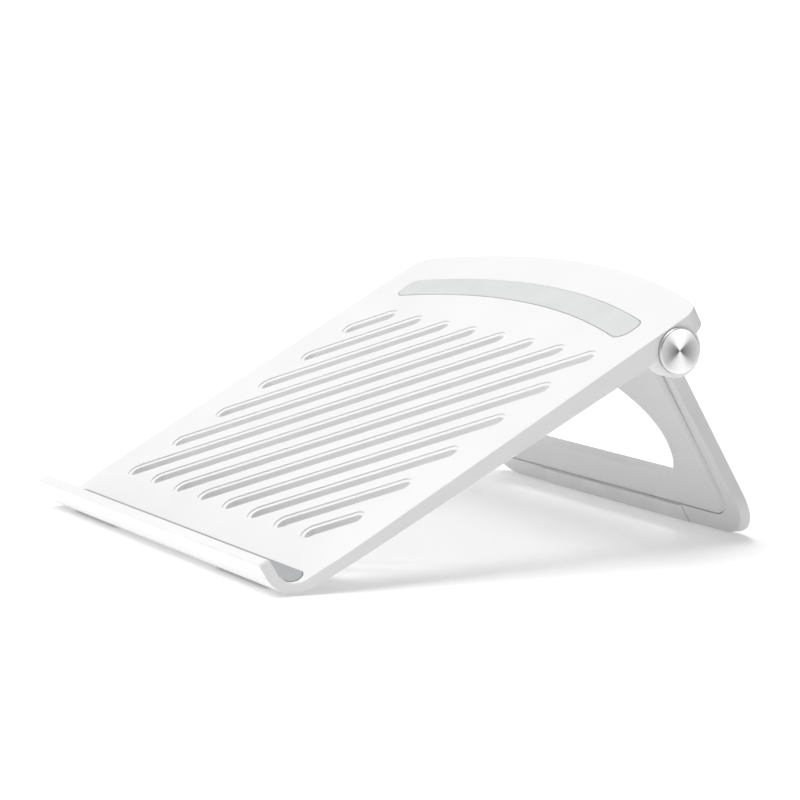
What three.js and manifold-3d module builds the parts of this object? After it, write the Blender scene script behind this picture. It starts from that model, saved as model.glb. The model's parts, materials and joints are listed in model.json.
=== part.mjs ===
// A folding laptop stand: a slotted deck with a J-shaped front lip, held up by a fold-down leg that
// turns on two friction hinges. Millimetres, +Z up, the lip faces -Y.
//
// The deck is drawn flat in its own frame: x across, y from the lip to the rear edge, z up from the
// deck's top face. The leg is drawn in a frame on the hinge axis, hanging down along -z.
// The deck is then tilted until its front curve and the leg's foot both stand on z = 0.
import * as THREE from "three";
import { mergeVertices } from "three/addons/utils/BufferGeometryUtils.js";
import Module from "manifold-3d";

const wasm = await Module();
wasm.setup();

// ---- Driving dimensions -------------------------------------------------------------------------

const gap = 0.3; // between pieces that touch

// Deck
const deckWidth = 240;
const deckLength = 246; // outer face of the lip to the middle of the rear edge
const skin = 3.6; // thickness of the slotted top
const wall = 3.5; // side and rear walls
const wallAtHinge = 9.8; // depth of the side wall below the top face, at the hinge
const wallAtRear = 8.2; // the same at the rear edge
const crown = 18.4; // the rear edge bows out by this much in its middle
const rearCorner = 12;
const frontNarrowing = 4; // each side draws in by this much towards the lip
const narrowingLength = 48;

// Lip
const lipThickness = 4.7;
const lipHeight = 15.5; // above the deck's top face
const bendRadius = 9; // inside of the bend from deck to lip
const lipTaper = 2; // each end of the lip leans in by this much
const lipEdge = 1.4; // radius on the lip's free edge

// Slots
const slotWidth = 7.2;
const slotChamfer = 1.4;
const slotStep = 24.9; // from slot to slot along the front row
const slotSideMargin = 26.1; // deck side to the centres of the slot ends
const slotFrontMargin = 38.9;
const slotRearMargin = 64.5;
const slotShortest = 10; // between end centres

// Ribs under the skin
const ribWidth = 1.8;
const ribDepth = 2.2;
const ribInset = 9; // cross ribs stand this far outside the slot rows

// Silicone pads
const padThickness = 1.2;
const padProud = 0.3;
const bandInset = 22; // rear edge to the band
const bandWidth = 14;
const bandEndMargin = 20.5;
const bandCorner = 6;
const lipPadReach = 3.2; // how far the lip pad runs back from the bend along the deck
const lipPadRise = 2.6; // how far it runs up the lip above the bend
const lipPadEndMargin = 2.2;
const gripProud = 0.4; // front grips below the bend
const gripLength = 46;
const gripSpacing = 150; // between the middles of the two grips
const gripSpan = 34; // degrees of the bend that a grip covers

// Hinge
const hingeFromRear = 36.2;
const hingeDrop = 10.8; // axis below the deck's top face
const earRim = 1.65; // ear outside the cap
const earThickness = 9.4;
const capMargin = 0.55; // the cap's rim stays this far below the deck's top face
const capThickness = 2.6;
const capRecess = 1.1; // how deep the cap's rim sits in the ear
const capDish = 0.35; // the face falls this much towards its middle
const capChamfer = 0.5;
const boltRadius = 2.5;
const boltHeadRadius = 5.2;
const boltHeadThickness = 2;
const bushWall = 1.5;
const washerThickness = 1;
const washerRadius = 6.6;
const barrelClearance = 0.7; // barrel to the skin over it
const barrelLength = 8.6;
const barrelFloor = 3; // barrel wall between the friction washer and the spring washer
const reliefSkin = 2.1; // skin left over the barrels
const nutFlats = 8;
const nutThickness = 3.4;
const stopReach = 13; // the stop lug behind the hinge axis
const stopThickness = 4.4;

// Leg
const legLength = 102; // hinge axis to the front edge of the foot
const legLean = 2.6; // degrees past square to the deck when open
const legSplay = 2.5; // each side leans out by this much from the hinge to the foot
const legTopThickness = 6.8;
const legLowThickness = 4.4;
const legCorner = 24;
const barTop = 4.8; // hinge axis down to the leg's middle bar
const soleClearance = 0.4; // the plastic foot stays this far above the pad's sole

// Leg panel
const panelThickness = 2;
const panelProud = 0.3; // in front of the frame at the foot
const panelProudTop = 1.5; // the same at the hinge axis
const legRim = 8; // the frame outside the panel, at the hinge
const panelTop = 7.6; // below the hinge axis
const panelBottom = 91.4;
const panelTopCorner = 5;
const panelCorner = 14;
const archSideMargin = 22.5; // side of the panel to the arch
const archTop = 12.3;
const archWidest = 50.5; // below the hinge axis
const archSill = 73.6;
const archCorner = 18.5; // width of the curve at each end of the sill
const archRelief = 0.8; // the frame behind the arch is cut back by this much

// Foot pad
const footPadLength = 120;
const footPadTop = 92.4;
const footPadThickness = 1.6;
const footPadCorner = 1;

// Panel screws
const sideScrewMargin = 13; // from the side of the panel
const sideScrewDown = 30; // below the hinge axis
const sillScrewSpacing = 96;
const sillScrewDown = 83;
const screwHeadRadius = 2;
const screwHeadThickness = 1;
const screwRadius = 0.9;
const screwRecess = 0.5; // head below the leg's rear face
const bossRadius = 2.4;
const bossHeight = 0.9;

// ---- Sizes worked out from those ----------------------------------------------------------------

const rad = THREE.MathUtils.degToRad;
const deckHalf = deckWidth / 2;
const bendOuter = bendRadius + lipThickness;
const bend = new THREE.Vector2(bendOuter, bendRadius); // centre of the bend, in y and z
const crownRadius = (deckHalf ** 2 + crown ** 2) / (2 * crown);
const crownY = deckLength - crownRadius;
const hinge = new THREE.Vector2(deckLength - hingeFromRear, -hingeDrop);
const padRecess = padThickness + gap - padProud;
const capRadius = hingeDrop - capMargin;
const earRadius = capRadius + earRim;
const barrelRadius = hingeDrop - reliefSkin - barrelClearance;
const earInner = deckHalf - earThickness;
const barrelOuter = earInner - washerThickness - 2 * gap;
const barrelInner = barrelOuter - barrelLength;
const skinUnderHinge = hingeDrop - skin; // hinge axis up to the underside of the skin
const bushRadius = boltRadius + gap + bushWall;
const capFace = deckHalf - capRecess + gap; // inner face of the cap
const headFace = capFace - gap - boltHeadThickness; // inner face of the bolt's head
const contact = bendOuter + gripProud; // radius on which the front grips stand
const legHalfTop = barrelOuter;
const legHalfFoot = barrelOuter + legSplay;
const panelHalf = barrelOuter - legRim;
const archHalf = panelHalf - archSideMargin;
const sillHalf = archHalf - archCorner;

// The open tilt: the line under the front grips and the foot is level.
const foot = new THREE.Vector2(-legLowThickness / 2, -legLength);
const footInDeck = foot.clone().rotateAround(new THREE.Vector2(), rad(legLean)).add(hinge);
const span = footInDeck.clone().sub(bend);
const tilt = Math.atan2(span.x, span.y) - Math.acos(-contact / span.length());
const soleTilt = tilt + rad(legLean); // the ground's slope as the leg's frame sees it

// ---- Shapes and solids --------------------------------------------------------------------------

// A closed shape through corners [x, y, radius], where a radius rounds that corner.
function outline(corners, steps = 5) {
  const points = [];
  const at = (i) => new THREE.Vector2(...corners[(i + corners.length) % corners.length]);
  corners.forEach(([, , radius = 0], i) => {
    const corner = at(i);
    if (radius === 0) {
      points.push(corner);
      return;
    }
    const back = at(i - 1).sub(corner).normalize();
    const ahead = at(i + 1).sub(corner).normalize();
    const half = Math.acos(back.dot(ahead)) / 2;
    const middle = back.clone().add(ahead).setLength(radius / Math.sin(half)).add(corner);
    const reach = radius / Math.tan(half);
    const from = back.multiplyScalar(reach).add(corner).sub(middle).angle();
    const to = ahead.multiplyScalar(reach).add(corner).sub(middle).angle();
    const turn = THREE.MathUtils.euclideanModulo(to - from + Math.PI, 2 * Math.PI) - Math.PI;
    points.push(...arc(middle, radius, from, from + turn, steps).map((p) => new THREE.Vector2(...p)));
  });
  return new THREE.Shape(points);
}

// Points along an arc, angles in radians.
function arc(middle, radius, from, to, steps) {
  return Array.from({ length: steps + 1 }, (_, i) => {
    const angle = THREE.MathUtils.lerp(from, to, i / steps);
    return [middle.x + radius * Math.cos(angle), middle.y + radius * Math.sin(angle)];
  });
}

function circle(middle, radius, steps = 24) {
  return outline(arc(middle, radius, 0, 2 * Math.PI, steps).slice(0, -1));
}

// A closed three.js geometry as a solid that can be joined and cut.
function solid(geometry) {
  const bare = geometry.clone();
  bare.deleteAttribute("normal");
  bare.deleteAttribute("uv");
  const merged = mergeVertices(bare, 1e-4);
  const source = merged.index.array;
  const triangles = [];
  for (let i = 0; i < source.length; i += 3) {
    const [a, b, c] = source.slice(i, i + 3);
    if (a !== b && b !== c && c !== a) triangles.push(a, b, c);
  }
  const vertProperties = new Float32Array(merged.attributes.position.array);
  const triVerts = new Uint32Array(triangles);
  return new wasm.Manifold(new wasm.Mesh({ numProp: 3, vertProperties, triVerts }));
}

const X = new THREE.Vector3(1, 0, 0);
const Y = new THREE.Vector3(0, 1, 0);
const Z = new THREE.Vector3(0, 0, 1);

// A shape drawn in x and y, thick from z = low to high.
function plate(shape, low, high) {
  const geometry = new THREE.ExtrudeGeometry(shape, { depth: high - low, bevelEnabled: false });
  return solid(geometry.translate(0, 0, low));
}

// A side profile drawn in y and z, wide from x = low to high.
function sideways(shape, low, high) {
  const geometry = new THREE.ExtrudeGeometry(shape, { depth: high - low, bevelEnabled: false });
  geometry.translate(0, 0, low);
  return solid(geometry.applyMatrix4(new THREE.Matrix4().makeBasis(Y, Z, X)));
}

// A front view drawn in x and z, deep from y = low to high.
function deepways(shape, low, high) {
  const geometry = new THREE.ExtrudeGeometry(shape, { depth: high - low, bevelEnabled: false });
  geometry.translate(0, 0, -high);
  return solid(geometry.applyMatrix4(new THREE.Matrix4().makeBasis(X, Z, Y.clone().negate())));
}

function block(low, high) {
  const size = high.map((value, i) => value - low[i]);
  const geometry = new THREE.BoxGeometry(...size);
  return solid(geometry.translate(...low.map((value, i) => value + size[i] / 2)));
}

// A profile of [radius, x] points turned about a line along X through y and z.
function turned(profile, y = 0, z = 0, steps = 24) {
  const points = profile.map(([radius, x]) => new THREE.Vector2(radius, x));
  const geometry = new THREE.LatheGeometry(points, steps);
  return solid(geometry.rotateZ(-Math.PI / 2).translate(0, y, z));
}

function rod(radius, low, high, steps = 24) {
  return turned([[0, low], [radius, low], [radius, high], [0, high]], 0, 0, steps);
}

function ring(inner, outer, low, high) {
  return turned([[inner, low], [outer, low], [outer, high], [inner, high], [inner, low]]);
}

// A solid through rings of points with equal counts, stacked upwards and anticlockwise from above.
function loft(rings) {
  const count = rings[0].length;
  const last = (rings.length - 1) * count;
  const index = [];
  for (let base = 0; base < last; base += count) {
    for (let i = 0; i < count; i++) {
      const a = base + i;
      const b = base + ((i + 1) % count);
      index.push(a, b, b + count, a, b + count, a + count);
    }
  }
  for (let i = 1; i + 1 < count; i++) {
    index.push(0, i + 1, i, last, last + i, last + i + 1);
  }
  const geometry = new THREE.BufferGeometry();
  geometry.setAttribute("position", new THREE.Float32BufferAttribute(rings.flat(2), 3));
  geometry.setIndex(index);
  return solid(geometry);
}

const join = (...solids) => solids.reduce((sum, piece) => sum.add(piece));
const mirrored = (make) => join(make(1), make(-1));

function geometryOf(piece) {
  const { vertProperties, triVerts } = piece.getMesh();
  const geometry = new THREE.BufferGeometry();
  geometry.setAttribute("position", new THREE.Float32BufferAttribute(vertProperties, 3));
  return geometry.setIndex(new THREE.Uint32BufferAttribute(triVerts, 1));
}

// The same solid turned, sheared or mirrored by a matrix.
function moved(piece, matrix) {
  const geometry = geometryOf(piece).applyMatrix4(matrix);
  if (matrix.determinant() < 0) geometry.index.array.reverse();
  return solid(geometry);
}

// The same solid on the other side, x turned to -x.
function onSide(piece, side) {
  return side > 0 ? piece : moved(piece, new THREE.Matrix4().makeScale(-1, 1, 1));
}

// ---- Materials ----------------------------------------------------------------------------------

const finish = (color, roughness, metalness) => () =>
  new THREE.MeshStandardMaterial({ color, roughness, metalness });
const whitePlastic = finish(0xf6f6f5, 0.42, 0);
const legPlastic = finish(0xf0f0ef, 0.5, 0);
const paleSilicone = finish(0xdcdddd, 0.75, 0);
const greySilicone = finish(0xb4b6b8, 0.75, 0);
const spunMetal = finish(0xcfd0d2, 0.25, 1);
const steel = finish(0x8f9296, 0.35, 1);
const nylon = finish(0xe4e2da, 0.6, 0);

// A named mesh of a finished solid.
function named(name, piece, material) {
  const flat = geometryOf(piece).toNonIndexed();
  flat.computeVertexNormals();
  const mesh = new THREE.Mesh(flat, material());
  mesh.name = name;
  return mesh;
}

// ---- Deck ---------------------------------------------------------------------------------------

// The deck seen from above, drawn in by inset, from y = front back to the rear edge.
function deckPlan(inset, front) {
  const half = deckHalf - inset;
  const radius = crownRadius - inset;
  const side = [];
  for (let y = front; y < narrowingLength; y += 8) {
    side.push([half - frontNarrowing * (1 - y / narrowingLength) ** 2, y]);
  }
  side.push([half, narrowingLength]);
  const rear = [];
  const steps = 8;
  for (let i = 0; i <= steps; i++) {
    const x = half * (1 - (2 * i) / steps);
    const rounded = i === 0 || i === steps ? rearCorner - inset : 0;
    rear.push([x, crownY + Math.sqrt(radius ** 2 - x ** 2), rounded]);
  }
  const left = side.map(([x, y]) => [-x, y]).reverse();
  return outline([...side, ...rear, ...left]);
}

// The deck from the side: top face, bend, lip, and the side wall that deepens towards the hinge.
function deckProfile() {
  const lipEdges = [
    [lipThickness, lipHeight, lipEdge],
    [0, lipHeight, lipEdge],
  ];
  return outline([
    [deckLength + 1, 0],
    ...arc(bend, bendRadius, -Math.PI / 2, -Math.PI, 8),
    ...lipEdges,
    ...arc(bend, bendOuter, Math.PI, 1.5 * Math.PI, 10),
    [hinge.x, -wallAtHinge],
    [deckLength + 1, -wallAtRear],
  ].reverse(), 3);
}

// The front view that trims the ends of the lip.
function lipEnds() {
  const root = deckHalf - frontNarrowing + 0.4;
  const wide = deckHalf + 1;
  return outline([
    [-wide, -30],
    [wide, -30],
    [wide, 1],
    [root, 1],
    [root - lipTaper, lipHeight + 0.5, 3],
    [lipTaper - root, lipHeight + 0.5, 3],
    [-root, 1],
    [-wide, 1],
  ], 4);
}

// Slot rows run between two lines across the deck. The slot that starts two steps in from the front
// row's left end finishes at the rear row's right end, which sets the angle.
const slotHalf = deckHalf - slotSideMargin;
const slotFront = slotFrontMargin;
const slotRear = deckLength - slotRearMargin;
const slotSlope = (slotRear - slotFront) / (2 * slotHalf - 2 * slotStep);

// The line that meets the front row start steps in from its left end, cut to the slot field.
function slotLine(start, margin = 0) {
  const x0 = -slotHalf + start * slotStep;
  const low = Math.max(-slotHalf - margin, x0 - margin / slotSlope);
  const high = Math.min(slotHalf + margin, x0 + (slotRear + margin - slotFront) / slotSlope);
  const at = (x) => new THREE.Vector2(x, slotFront + (x - x0) * slotSlope);
  return high > low ? [at(low), at(high)] : null;
}

function slotLines(offset, margin) {
  const lines = [];
  const most = Math.ceil((2 * slotHalf) / slotStep);
  for (let i = -most; i <= most; i++) {
    const line = slotLine(i + offset, margin);
    if (line && line[0].distanceTo(line[1]) > slotShortest) lines.push(line);
  }
  return lines;
}

// Points round a slot at height z, radius from its centre line.
function slotRing([from, to], radius, z, steps = 6) {
  const angle = to.clone().sub(from).angle();
  const ends = [
    ...arc(to, radius, angle - Math.PI / 2, angle + Math.PI / 2, steps),
    ...arc(from, radius, angle + Math.PI / 2, angle + 1.5 * Math.PI, steps),
  ];
  return ends.map(([x, y]) => [x, y, z]);
}

function slotCutter(line) {
  const radius = slotWidth / 2;
  return loft([
    slotRing(line, radius, -20),
    slotRing(line, radius, -slotChamfer),
    slotRing(line, radius + slotChamfer, 0),
    slotRing(line, radius + slotChamfer, 5),
  ]);
}

// Ribs along the land between the slots, and one across the deck beyond each slot row.
function ribs() {
  const low = -skin - ribDepth;
  const high = -skin + 0.5;
  const between = slotLines(0.5, ribInset).map((line) =>
    loft([slotRing(line, ribWidth / 2, low, 2), slotRing(line, ribWidth / 2, high, 2)]));
  const across = [slotFront - ribInset, slotRear + ribInset].map((y) =>
    block([-deckHalf + 1, y - ribWidth / 2, low], [deckHalf - 1, y + ribWidth / 2, high]));
  return join(...between, ...across);
}

// A band that follows the rear edge, for the pad and, with clearance, for its recess.
function bandPlan(clearance) {
  const half = deckHalf - bandEndMargin + clearance;
  const outer = crownRadius - bandInset + clearance;
  const inner = crownRadius - bandInset - bandWidth - clearance;
  const edge = (radius, from) => Array.from({ length: 13 }, (_, i) => {
    const x = from * (1 - i / 6);
    const rounded = i === 0 || i === 12 ? bandCorner : 0;
    return [x, crownY + Math.sqrt(radius ** 2 - x ** 2), rounded];
  });
  return outline([...edge(outer, half), ...edge(inner, -half)], 4);
}

// The lip pad's section: along the deck, round the bend and up the lip, between two depths below
// the surface.
function lipPadProfile(shallow, deep, clearance) {
  const back = bend.x + lipPadReach + clearance;
  const top = bend.y + lipPadRise + clearance;
  return outline([
    [back, -shallow],
    ...arc(bend, bendRadius + shallow, -Math.PI / 2, -Math.PI, 8),
    [lipThickness - shallow, top],
    [lipThickness - deep, top],
    ...arc(bend, bendRadius + deep, -Math.PI, -Math.PI / 2, 8),
    [back, -deep],
  ].reverse());
}

const lipPadHalf = deckHalf - frontNarrowing - lipPadEndMargin;

// The pad's front view, which rounds its ends where it lies on the deck.
function lipPadEnds(clearance) {
  const half = lipPadHalf + clearance;
  const back = bend.x + lipPadReach + clearance;
  return outline([
    [-half, -5],
    [half, -5],
    [half, back, 3],
    [-half, back, 3],
  ]);
}

// A front grip's section on the outside of the bend, centred on the point that meets the ground.
function gripProfile(inner, outer, clearance) {
  const down = -Math.PI / 2 - tilt;
  const half = rad(gripSpan / 2) + clearance / bendOuter;
  return outline([
    ...arc(bend, outer, down - half, down + half, 6),
    ...arc(bend, inner, down + half, down - half, 6),
  ]);
}

function gripSolid(side, inner, outer, clearance) {
  const middle = (side * gripSpacing) / 2;
  const half = gripLength / 2 + clearance;
  return sideways(gripProfile(inner, outer, clearance), middle - half, middle + half);
}

// The ear that carries one hinge: a round end hung from the side wall and skin.
function ear(side) {
  const round = sideways(circle(hinge, earRadius, 32), earInner, deckHalf);
  const root = block(
    [earInner, hinge.x - earRadius, -hingeDrop],
    [deckHalf, hinge.x + earRadius, -1],
  );
  const kept = block([0, 0, -60], [deckHalf, deckLength, -1]);
  return onSide(join(round, root).intersect(kept), side);
}

// What is bored out of an ear: the cap's seat, the bolt head's room and the bush's bore.
function earBore(side) {
  const seat = capRadius + gap;
  const head = boltHeadRadius + gap;
  const bush = bushRadius + gap;
  const bore = turned([
    [0, earInner - 1],
    [bush, earInner - 1],
    [bush, headFace - gap],
    [head, headFace - gap],
    [head, deckHalf - capRecess],
    [seat, deckHalf - capRecess],
    [seat, deckHalf + 1],
    [0, deckHalf + 1],
  ], hinge.x, hinge.y, 32);
  return onSide(bore, side);
}

// Room under the skin for the leg's barrel to turn.
function barrelRelief(side) {
  const reach = barrelRadius + 1;
  const room = block(
    [barrelInner - 2 * gap, hinge.x - reach, -hingeDrop - reach],
    [earInner, hinge.x + reach, -reliefSkin],
  );
  return onSide(room, side);
}

function makeDeck() {
  const plan = plate(deckPlan(0, -1), -30, 30);
  const envelope = sideways(deckProfile(), -deckHalf - 1, deckHalf + 1)
    .intersect(plan)
    .intersect(deepways(lipEnds(), -1, deckLength + 1));
  const hollowFront = bendOuter + 2 * lipThickness;
  const hollow = plate(deckPlan(wall, hollowFront), -30, -skin);
  const shell = envelope.subtract(hollow).add(ribs().intersect(envelope));
  const whole = join(shell, mirrored(ear));
  const cuts = [
    ...slotLines(0, 0).map(slotCutter),
    plate(bandPlan(gap), -padRecess, 1),
    sideways(lipPadProfile(-1, padRecess, gap), -lipPadHalf - 1, lipPadHalf + 1)
      .intersect(plate(lipPadEnds(gap), -10, lipHeight)),
    mirrored((side) => gripSolid(side, contact - padThickness - gap, contact + 1, gap)),
    mirrored(barrelRelief),
    mirrored(earBore),
  ];
  return cuts.reduce((rest, cut) => rest.subtract(cut), whole);
}

// ---- Hinge pieces, on the hinge axis ------------------------------------------------------------

const spot = barrelOuter - barrelFloor; // floor of the barrel's inner recess
const springInner = spot - gap - washerThickness;
const nutOuter = springInner - gap;
const boltEnd = nutOuter - nutThickness - 0.8;

function makeCap() {
  const face = capFace + capThickness;
  return turned([
    [0, capFace],
    [capRadius, capFace],
    [capRadius, face - capChamfer],
    [capRadius - capChamfer, face],
    [capRadius / 2, face - capDish / 2],
    [0, face - capDish],
  ], 0, 0, 48);
}

function makeBolt() {
  return turned([
    [0, boltEnd],
    [boltRadius - 0.5, boltEnd],
    [boltRadius, boltEnd + 0.5],
    [boltRadius, headFace],
    [boltHeadRadius, headFace],
    [boltHeadRadius, headFace + boltHeadThickness],
    [0, headFace + boltHeadThickness],
  ]);
}

function makeNut() {
  const hexagon = rod(nutFlats / Math.sqrt(3), nutOuter - nutThickness, nutOuter, 6);
  return hexagon.subtract(rod(boltRadius + gap, nutOuter - nutThickness - 1, nutOuter + 1));
}

const boltHole = boltRadius + gap;
const hingePieces = [
  ["hinge_cap", makeCap, spunMetal],
  ["hinge_bolt", makeBolt, steel],
  ["ear_bush", () => ring(boltHole, bushRadius, earInner, headFace - gap), nylon],
  ["spring_washer", () => ring(boltHole, nutFlats / 2, springInner, springInner + washerThickness), steel],
  ["lock_nut", makeNut, steel],
];
const frictionWasher = () =>
  ring(boltHole, washerRadius, barrelOuter + gap, barrelOuter + gap + washerThickness);

// ---- Leg, in its own frame on the hinge axis ----------------------------------------------------

// The front and rear faces of the leg come together slowly towards the foot.
function faceAt(down) {
  const share = Math.min(Math.max(down, 0) / legLength, 1);
  return THREE.MathUtils.lerp(legTopThickness, legLowThickness, share) / 2;
}

// The ground, rise above it, as seen from the side of the leg.
const groundAt = (y, rise) =>
  foot.y - (y - foot.x) * Math.tan(soleTilt) + rise / Math.cos(soleTilt);

const heel = legLowThickness / 2;

function legProfile() {
  return outline([
    [-faceAt(0), 0],
    [-faceAt(legLength), groundAt(-faceAt(legLength), soleClearance)],
    [heel, groundAt(heel, soleClearance), 0.8],
    [faceAt(0), 0],
  ], 3);
}

// The leg from the front: two uprights that end under the barrels, and a foot with round corners.
function legFront() {
  const low = -legLength - heel - 8;
  const footEdge = groundAt(-faceAt(legLength), soleClearance);
  return outline([
    [-legHalfFoot, footEdge, legCorner],
    [legHalfFoot, footEdge, legCorner],
    [legHalfTop, -earRadius],
    [legHalfTop, 0],
    [barrelInner, 0],
    [barrelInner, -barTop, 2],
    [-barrelInner, -barTop, 2],
    [-barrelInner, 0],
    [-legHalfTop, 0],
    [-legHalfTop, -earRadius],
  ], 7);
}

// Below its front edge the foot follows the ground back to its heel, so the round corners are cut
// along that slope.
function footTrim() {
  const front = deepways(legFront(), -20, 20);
  const slope = new THREE.Matrix4().set(
    1, 0, 0, 0,
    0, 1, 0, 0,
    0, -Math.tan(soleTilt), 1, -faceAt(legLength) * Math.tan(soleTilt),
    0, 0, 0, 1,
  );
  return moved(front, slope);
}

// The opening between the leg's uprights, grown by clearance.
function archOutline(clearance) {
  const half = archHalf + clearance;
  const rise = archWidest - archTop + clearance;
  const drop = archSill - archWidest + clearance;
  const turn = archCorner + clearance;
  const quarter = Array.from({ length: 7 }, (_, i) => (Math.PI * i) / 12);
  const corner = quarter.map((a) => [sillHalf + turn * Math.sin(a), -drop * Math.cos(a)]);
  const crown = quarter.slice(1).map((a) => [half * Math.cos(a), rise * Math.sin(a)]);
  const right = [...corner, ...crown];
  const left = right.slice(0, -1).map(([x, y]) => [-x, y]).reverse();
  return outline([...right, ...left].map(([x, y]) => [x, y - archWidest]));
}

// The panel from the front.
function panelPlan(clearance) {
  const half = panelHalf - gap + clearance;
  const low = -panelBottom - clearance;
  const high = -panelTop + clearance;
  return outline([
    [-half, low, panelCorner + clearance],
    [half, low, panelCorner + clearance],
    [half, high, panelTopCorner],
    [-half, high, panelTopCorner],
  ], 6);
}

// A layer along the leg's front face, from outTop and outFoot in front of it to deep behind it.
function frontLayer(outTop, outFoot, deep) {
  return sideways(outline([
    [-faceAt(0) - outTop, 0],
    [-faceAt(legLength) - outFoot, -legLength],
    [-faceAt(legLength) + deep, -legLength],
    [-faceAt(0) + deep, 0],
  ]), -deckHalf, deckHalf);
}

const panelDeep = panelThickness - panelProud; // its back, behind the leg's front face

// Each screw's place, across the leg and down from the hinge axis.
const screwPlaces = [1, -1].flatMap((side) => [
  [side * (panelHalf - sideScrewMargin), sideScrewDown],
  [(side * sillScrewSpacing) / 2, sillScrewDown],
]);

// A round pin along y at one of those places.
function pin(x, down, radius, low, high, steps = 16) {
  return deepways(circle(new THREE.Vector2(x, -down), radius, steps), low, high);
}

function makePanel() {
  const panel = deepways(panelPlan(0), -20, 20)
    .subtract(deepways(archOutline(0), -20, 20))
    .intersect(frontLayer(panelProudTop, panelProud, panelDeep));
  const bosses = screwPlaces.map(([x, down]) =>
    pin(x, down, bossRadius, -faceAt(down) + panelDeep - 0.5, -faceAt(down) + panelDeep + bossHeight));
  const holes = screwPlaces.map(([x, down]) =>
    pin(x, down, screwRadius + gap, -faceAt(down) + panelDeep - 0.8, 10));
  return join(panel, ...bosses).subtract(join(...holes));
}

const screwHead = (down) => faceAt(down) - screwRecess; // outer face of a screw's head

function makeScrew([x, down]) {
  const head = screwHead(down);
  const tip = -faceAt(down) + panelDeep - 0.8 + gap;
  return join(
    pin(x, down, screwHeadRadius, head - screwHeadThickness, head),
    pin(x, down, screwRadius, tip, head - 0.2),
  );
}

function screwRoom([x, down]) {
  const under = screwHead(down) - screwHeadThickness - gap;
  return join(
    pin(x, down, screwHeadRadius + gap, under, 10),
    pin(x, down, screwRadius + gap, -10, 10),
    pin(x, down, bossRadius + gap, -10, -faceAt(down) + panelDeep + bossHeight + gap),
  );
}

// The foot pad's section: down the front face and back under the sole.
function footPadProfile(grow, clearance) {
  const front = foot.x - grow;
  const back = heel - 1 + clearance;
  const inner = foot.x + footPadThickness + clearance;
  const rise = footPadThickness + clearance;
  const top = -footPadTop + clearance;
  return outline([
    [-faceAt(footPadTop) - padProud - grow, top],
    [front - padProud, groundAt(front - padProud, -grow)],
    [back, groundAt(back, -grow)],
    [back, groundAt(back, rise)],
    [inner, groundAt(inner, rise)],
    [-faceAt(footPadTop) + footPadThickness + clearance, top],
  ]);
}

function footPadSolid(grow, clearance) {
  const half = footPadLength / 2 + clearance;
  return sideways(footPadProfile(grow, clearance), -half, half);
}

// A barrel at the top of an upright, with the lug that stops the leg under the deck's skin.
function barrel(side) {
  const round = rod(barrelRadius, barrelInner, barrelOuter, 32);
  const lug = block(
    [barrelInner, 0, skinUnderHinge - gap - stopThickness],
    [barrelOuter, stopReach, skinUnderHinge - gap],
  );
  const square = moved(lug, new THREE.Matrix4().makeRotationX(-rad(legLean)));
  return onSide(join(round, square), side);
}

function barrelBore(side) {
  const room = nutFlats / Math.sqrt(3) + gap;
  const bore = turned([
    [0, barrelInner - 1],
    [room, barrelInner - 1],
    [room, spot],
    [boltHole, spot],
    [boltHole, barrelOuter + 1],
    [0, barrelOuter + 1],
  ]);
  return onSide(bore, side);
}

function makeLegFrame() {
  const body = sideways(legProfile(), -deckHalf, deckHalf).intersect(footTrim());
  const whole = join(body, mirrored(barrel));
  const pocket = deepways(panelPlan(gap), -20, 20).intersect(frontLayer(5, 5, panelDeep + gap));
  const cuts = [
    pocket,
    deepways(archOutline(archRelief), -20, 20),
    footPadSolid(3, gap),
    mirrored(barrelBore),
    ...screwPlaces.map(screwRoom),
  ];
  return cuts.reduce((rest, cut) => rest.subtract(cut), whole);
}

// ---- Assembly -----------------------------------------------------------------------------------

const sides = [
  ["right", 1],
  ["left", -1],
];

const deck = new THREE.Group();
deck.rotation.x = tilt;
deck.add(
  named("deck", makeDeck(), whitePlastic),
  named("rear_grip_pad", plate(bandPlan(0), padProud - padThickness, padProud), paleSilicone),
  named(
    "lip_pad",
    sideways(lipPadProfile(-padProud, padThickness - padProud, 0), -lipPadHalf, lipPadHalf)
      .intersect(plate(lipPadEnds(0), -10, lipHeight)),
    greySilicone,
  ),
);

const axis = new THREE.Group();
axis.position.set(0, hinge.x, hinge.y);
deck.add(axis);

const leg = new THREE.Group();
leg.rotation.x = rad(legLean);
axis.add(leg);
leg.add(
  named("leg_frame", makeLegFrame(), legPlastic),
  named("leg_panel", makePanel(), legPlastic),
  named("leg_foot_pad", footPadSolid(0, 0), paleSilicone),
);
screwPlaces.forEach((place, i) => {
  leg.add(named(`panel_screw_${i + 1}`, makeScrew(place), steel));
});

for (const [word, side] of sides) {
  const grip = gripSolid(side, contact - padThickness, contact, 0);
  deck.add(named(`front_grip_${word}`, grip, greySilicone));
  for (const [name, make, material] of hingePieces) {
    axis.add(named(`${name}_${word}`, onSide(make(), side), material));
  }
  leg.add(named(`friction_washer_${word}`, onSide(frictionWasher(), side), nylon));
}

// The whole stand, with the origin on the ground under the middle of its box.
const stand = new THREE.Group();
stand.add(deck);
const box = new THREE.Box3().setFromObject(stand, true);
deck.position.set(0, -(box.min.y + box.max.y) / 2, -box.min.z);

export default stand;
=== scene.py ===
import json
import math

import bmesh
import bpy
from mathutils import Matrix, Vector


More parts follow.
